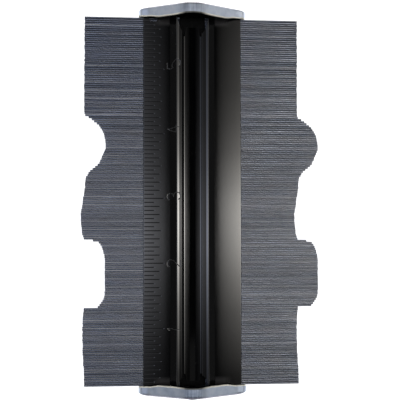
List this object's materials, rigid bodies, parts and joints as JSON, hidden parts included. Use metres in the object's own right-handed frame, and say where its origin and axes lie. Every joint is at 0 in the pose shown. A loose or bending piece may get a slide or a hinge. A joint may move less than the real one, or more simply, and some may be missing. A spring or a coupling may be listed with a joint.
{
  "type": "contour gauge",
  "caption": "Contour gauge: steel wires slide through a pressed black casing with zinc end caps and keep the profile that they are pushed against.",
  "frame": {"origin": "middle of the gauge's box, on the surface that it lies on", "axes": "+X along the wires, +Y along the casing to its top end, +Z out of the front face"},
  "size_m": [0.094, 0.156, 0.018],
  "materials": {
    "black_enamel": "gloss",
    "zinc_plate": "satin zinc",
    "wire_steel": "drawn wire",
    "screw_steel": "satin",
    "black_felt": "felt"
  },
  "bodies": {
    "casing": {"front_casing": "black_enamel", "rear_casing": "black_enamel", "front_friction_strip": "black_felt", "rear_friction_strip": "black_felt", "top_end_block": "screw_steel", "bottom_end_block": "screw_steel", "top_end_cap": "zinc_plate", "bottom_end_cap": "zinc_plate", "top_cap_screw": "screw_steel", "bottom_cap_screw": "screw_steel"},
    "pin_bank_01": {"pin_bank_01": "wire_steel"},
    "pin_bank_02": {"pin_bank_02": "wire_steel"},
    "pin_bank_03": {"pin_bank_03": "wire_steel"},
    "pin_bank_04": {"pin_bank_04": "wire_steel"},
    "pin_bank_05": {"pin_bank_05": "wire_steel"},
    "pin_bank_06": {"pin_bank_06": "wire_steel"},
    "pin_bank_07": {"pin_bank_07": "wire_steel"},
    "pin_bank_08": {"pin_bank_08": "wire_steel"},
    "pin_bank_09": {"pin_bank_09": "wire_steel"},
    "pin_bank_10": {"pin_bank_10": "wire_steel"},
    "pin_bank_11": {"pin_bank_11": "wire_steel"},
    "pin_bank_12": {"pin_bank_12": "wire_steel"},
    "pin_bank_13": {"pin_bank_13": "wire_steel"},
    "pin_bank_14": {"pin_bank_14": "wire_steel"},
    "pin_bank_15": {"pin_bank_15": "wire_steel"},
    "pin_bank_16": {"pin_bank_16": "wire_steel"},
    "pin_bank_17": {"pin_bank_17": "wire_steel"},
    "pin_bank_18": {"pin_bank_18": "wire_steel"},
    "pin_bank_19": {"pin_bank_19": "wire_steel"},
    "pin_bank_20": {"pin_bank_20": "wire_steel"},
    "pin_bank_21": {"pin_bank_21": "wire_steel"},
    "pin_bank_22": {"pin_bank_22": "wire_steel"},
    "pin_bank_23": {"pin_bank_23": "wire_steel"},
    "pin_bank_24": {"pin_bank_24": "wire_steel"},
    "pin_bank_25": {"pin_bank_25": "wire_steel"},
    "pin_bank_26": {"pin_bank_26": "wire_steel"},
    "pin_bank_27": {"pin_bank_27": "wire_steel"},
    "pin_bank_28": {"pin_bank_28": "wire_steel"},
    "pin_bank_29": {"pin_bank_29": "wire_steel"},
    "pin_bank_30": {"pin_bank_30": "wire_steel"},
    "pin_bank_31": {"pin_bank_31": "wire_steel"},
    "pin_bank_32": {"pin_bank_32": "wire_steel"},
    "pin_bank_33": {"pin_bank_33": "wire_steel"},
    "pin_bank_34": {"pin_bank_34": "wire_steel"},
    "pin_bank_35": {"pin_bank_35": "wire_steel"},
    "pin_bank_36": {"pin_bank_36": "wire_steel"},
    "pin_bank_37": {"pin_bank_37": "wire_steel"},
    "pin_bank_38": {"pin_bank_38": "wire_steel"},
    "pin_bank_39": {"pin_bank_39": "wire_steel"},
    "pin_bank_40": {"pin_bank_40": "wire_steel"},
    "pin_bank_41": {"pin_bank_41": "wire_steel"},
    "pin_bank_42": {"pin_bank_42": "wire_steel"},
    "pin_bank_43": {"pin_bank_43": "wire_steel"},
    "pin_bank_44": {"pin_bank_44": "wire_steel"},
    "pin_bank_45": {"pin_bank_45": "wire_steel"}
  },
  "joints": [
    {"name": "pin_bank_01_slide", "type": "slide", "parent": "casing", "child": "pin_bank_01", "axis": [1, 0, 0], "range_m": [-0.0228, 0.02285]},
    {"name": "pin_bank_02_slide", "type": "slide", "parent": "casing", "child": "pin_bank_02", "axis": [1, 0, 0], "range_m": [-0.02275, 0.0229]},
    {"name": "pin_bank_03_slide", "type": "slide", "parent": "casing", "child": "pin_bank_03", "axis": [1, 0, 0], "range_m": [-0.02275, 0.02295]},
    {"name": "pin_bank_04_slide", "type": "slide", "parent": "casing", "child": "pin_bank_04", "axis": [1, 0, 0], "range_m": [-0.02275, 0.0229]},
    {"name": "pin_bank_05_slide", "type": "slide", "parent": "casing", "child": "pin_bank_05", "axis": [1, 0, 0], "range_m": [-0.0228, 0.02285]},
    {"name": "pin_bank_06_slide", "type": "slide", "parent": "casing", "child": "pin_bank_06", "axis": [1, 0, 0], "range_m": [-0.0227, 0.02285]},
    {"name": "pin_bank_07_slide", "type": "slide", "parent": "casing", "child": "pin_bank_07", "axis": [1, 0, 0], "range_m": [-0.0227, 0.02295]},
    {"name": "pin_bank_08_slide", "type": "slide", "parent": "casing", "child": "pin_bank_08", "axis": [1, 0, 0], "range_m": [-0.0227, 0.023]},
    {"name": "pin_bank_09_slide", "type": "slide", "parent": "casing", "child": "pin_bank_09", "axis": [1, 0, 0], "range_m": [-0.02265, 0.023]},
    {"name": "pin_bank_10_slide", "type": "slide", "parent": "casing", "child": "pin_bank_10", "axis": [1, 0, 0], "range_m": [-0.0227, 0.023]},
    {"name": "pin_bank_11_slide", "type": "slide", "parent": "casing", "child": "pin_bank_11", "axis": [1, 0, 0], "range_m": [-0.0227, 0.023]},
    {"name": "pin_bank_12_slide", "type": "slide", "parent": "casing", "child": "pin_bank_12", "axis": [1, 0, 0], "range_m": [-0.02265, 0.02295]},
    {"name": "pin_bank_13_slide", "type": "slide", "parent": "casing", "child": "pin_bank_13", "axis": [1, 0, 0], "range_m": [-0.02315, 0.0192]},
    {"name": "pin_bank_14_slide", "type": "slide", "parent": "casing", "child": "pin_bank_14", "axis": [1, 0, 0], "range_m": [-0.02765, 0.0162]},
    {"name": "pin_bank_15_slide", "type": "slide", "parent": "casing", "child": "pin_bank_15", "axis": [1, 0, 0], "range_m": [-0.03, 0.0151]},
    {"name": "pin_bank_16_slide", "type": "slide", "parent": "casing", "child": "pin_bank_16", "axis": [1, 0, 0], "range_m": [-0.03095, 0.0147]},
    {"name": "pin_bank_17_slide", "type": "slide", "parent": "casing", "child": "pin_bank_17", "axis": [1, 0, 0], "range_m": [-0.03005, 0.0147]},
    {"name": "pin_bank_18_slide", "type": "slide", "parent": "casing", "child": "pin_bank_18", "axis": [1, 0, 0], "range_m": [-0.0287, 0.01615]},
    {"name": "pin_bank_19_slide", "type": "slide", "parent": "casing", "child": "pin_bank_19", "axis": [1, 0, 0], "range_m": [-0.0251, 0.0178]},
    {"name": "pin_bank_20_slide", "type": "slide", "parent": "casing", "child": "pin_bank_20", "axis": [1, 0, 0], "range_m": [-0.02335, 0.02135]},
    {"name": "pin_bank_21_slide", "type": "slide", "parent": "casing", "child": "pin_bank_21", "axis": [1, 0, 0], "range_m": [-0.0231, 0.02255]},
    {"name": "pin_bank_22_slide", "type": "slide", "parent": "casing", "child": "pin_bank_22", "axis": [1, 0, 0], "range_m": [-0.0227, 0.02285]},
    {"name": "pin_bank_23_slide", "type": "slide", "parent": "casing", "child": "pin_bank_23", "axis": [1, 0, 0], "range_m": [-0.0222, 0.02345]},
    {"name": "pin_bank_24_slide", "type": "slide", "parent": "casing", "child": "pin_bank_24", "axis": [1, 0, 0], "range_m": [-0.0216, 0.02375]},
    {"name": "pin_bank_25_slide", "type": "slide", "parent": "casing", "child": "pin_bank_25", "axis": [1, 0, 0], "range_m": [-0.02145, 0.0242]},
    {"name": "pin_bank_26_slide", "type": "slide", "parent": "casing", "child": "pin_bank_26", "axis": [1, 0, 0], "range_m": [-0.0216, 0.02395]},
    {"name": "pin_bank_27_slide", "type": "slide", "parent": "casing", "child": "pin_bank_27", "axis": [1, 0, 0], "range_m": [-0.02195, 0.02335]},
    {"name": "pin_bank_28_slide", "type": "slide", "parent": "casing", "child": "pin_bank_28", "axis": [1, 0, 0], "range_m": [-0.0227, 0.01665]},
    {"name": "pin_bank_29_slide", "type": "slide", "parent": "casing", "child": "pin_bank_29", "axis": [1, 0, 0], "range_m": [-0.0296, 0.0155]},
    {"name": "pin_bank_30_slide", "type": "slide", "parent": "casing", "child": "pin_bank_30", "axis": [1, 0, 0], "range_m": [-0.03065, 0.0149]},
    {"name": "pin_bank_31_slide", "type": "slide", "parent": "casing", "child": "pin_bank_31", "axis": [1, 0, 0], "range_m": [-0.0308, 0.01485]},
    {"name": "pin_bank_32_slide", "type": "slide", "parent": "casing", "child": "pin_bank_32", "axis": [1, 0, 0], "range_m": [-0.0308, 0.01495]},
    {"name": "pin_bank_33_slide", "type": "slide", "parent": "casing", "child": "pin_bank_33", "axis": [1, 0, 0], "range_m": [-0.03085, 0.0149]},
    {"name": "pin_bank_34_slide", "type": "slide", "parent": "casing", "child": "pin_bank_34", "axis": [1, 0, 0], "range_m": [-0.03075, 0.01485]},
    {"name": "pin_bank_35_slide", "type": "slide", "parent": "casing", "child": "pin_bank_35", "axis": [1, 0, 0], "range_m": [-0.02945, 0.01515]},
    {"name": "pin_bank_36_slide", "type": "slide", "parent": "casing", "child": "pin_bank_36", "axis": [1, 0, 0], "range_m": [-0.0227, 0.01695]},
    {"name": "pin_bank_37_slide", "type": "slide", "parent": "casing", "child": "pin_bank_37", "axis": [1, 0, 0], "range_m": [-0.02235, 0.02325]},
    {"name": "pin_bank_38_slide", "type": "slide", "parent": "casing", "child": "pin_bank_38", "axis": [1, 0, 0], "range_m": [-0.0222, 0.0234]},
    {"name": "pin_bank_39_slide", "type": "slide", "parent": "casing", "child": "pin_bank_39", "axis": [1, 0, 0], "range_m": [-0.02215, 0.02345]},
    {"name": "pin_bank_40_slide", "type": "slide", "parent": "casing", "child": "pin_bank_40", "axis": [1, 0, 0], "range_m": [-0.0222, 0.0234]},
    {"name": "pin_bank_41_slide", "type": "slide", "parent": "casing", "child": "pin_bank_41", "axis": [1, 0, 0], "range_m": [-0.0223, 0.0234]},
    {"name": "pin_bank_42_slide", "type": "slide", "parent": "casing", "child": "pin_bank_42", "axis": [1, 0, 0], "range_m": [-0.02235, 0.0232]},
    {"name": "pin_bank_43_slide", "type": "slide", "parent": "casing", "child": "pin_bank_43", "axis": [1, 0, 0], "range_m": [-0.02255, 0.02295]},
    {"name": "pin_bank_44_slide", "type": "slide", "parent": "casing", "child": "pin_bank_44", "axis": [1, 0, 0], "range_m": [-0.02285, 0.02285]},
    {"name": "pin_bank_45_slide", "type": "slide", "parent": "casing", "child": "pin_bank_45", "axis": [1, 0, 0], "range_m": [-0.02285, 0.02285]}
  ]
}
